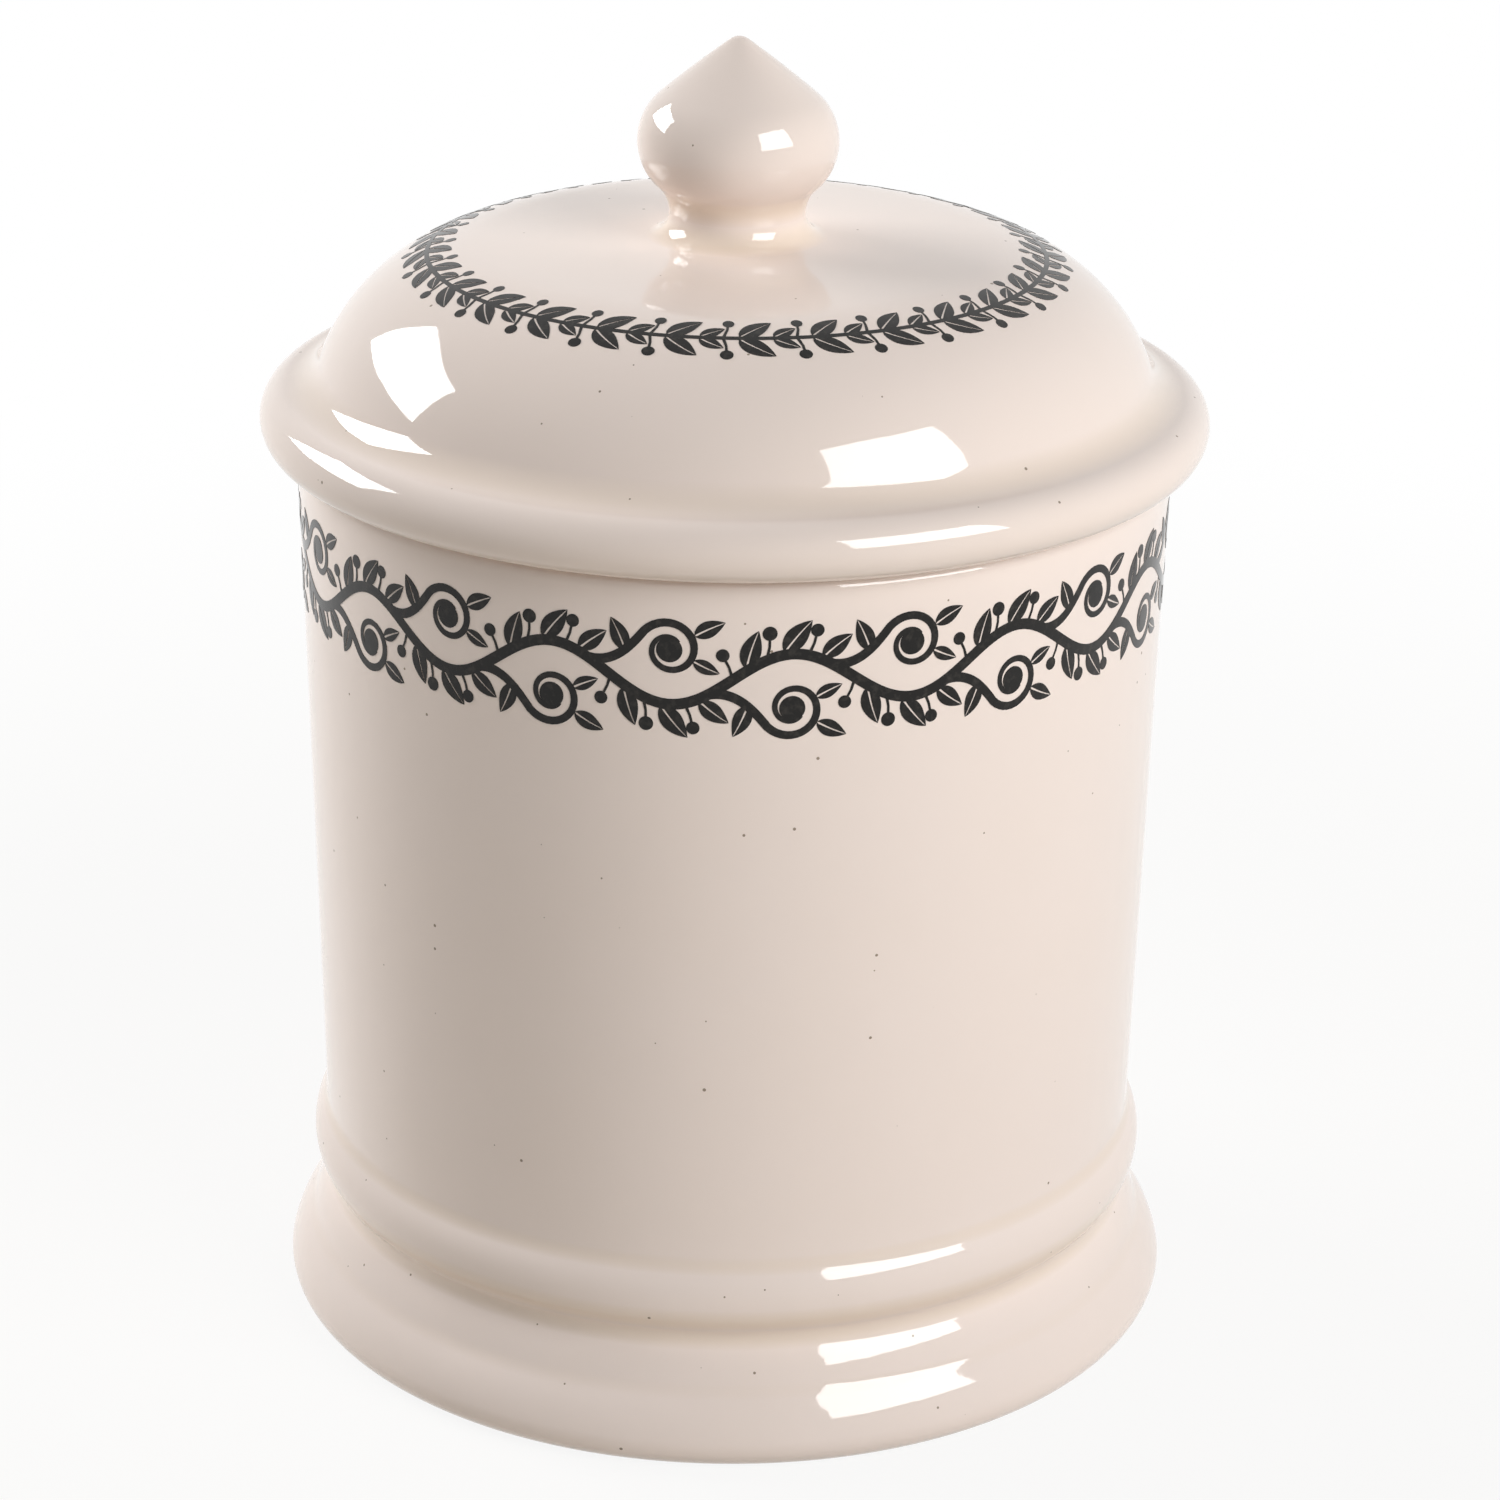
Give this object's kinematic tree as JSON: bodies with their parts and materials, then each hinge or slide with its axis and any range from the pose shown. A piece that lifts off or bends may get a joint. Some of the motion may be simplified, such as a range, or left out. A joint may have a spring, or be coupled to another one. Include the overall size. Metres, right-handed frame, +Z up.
{
  "type": "jam pot",
  "caption": "Covered cylindrical jam pot with a moulded foot, and a domed lid with a rolled flange and an onion-shaped knob, in cream glazed earthenware.",
  "frame": {"origin": "on the axis of the pot, in the plane of the table that its foot ring stands on", "axes": "+Z up along the common axis of pot, lid and knob, +X and +Y level; the decoration's front faces -Y"},
  "size_m": [0.0926, 0.0926, 0.1296],
  "materials": {
    "pot_glaze": "clear glossy glaze over cream earthenware, with a black leaf border under the glaze below the rim and a bare, ground foot ring",
    "lid_glaze": "clear glossy glaze over cream earthenware, with a black leaf ring under the glaze on the dome",
    "knob_glaze": "clear glossy glaze over cream earthenware"
  },
  "bodies": {
    "pot": {"pot": "pot_glaze"},
    "lid": {"lid": "lid_glaze", "knob": "knob_glaze"}
  },
  "joints": [
    {"name": "lid_lift", "type": "slide", "parent": "pot", "child": "lid", "axis": [0, 0, 1], "range_m": [0, 0.06]}
  ]
}
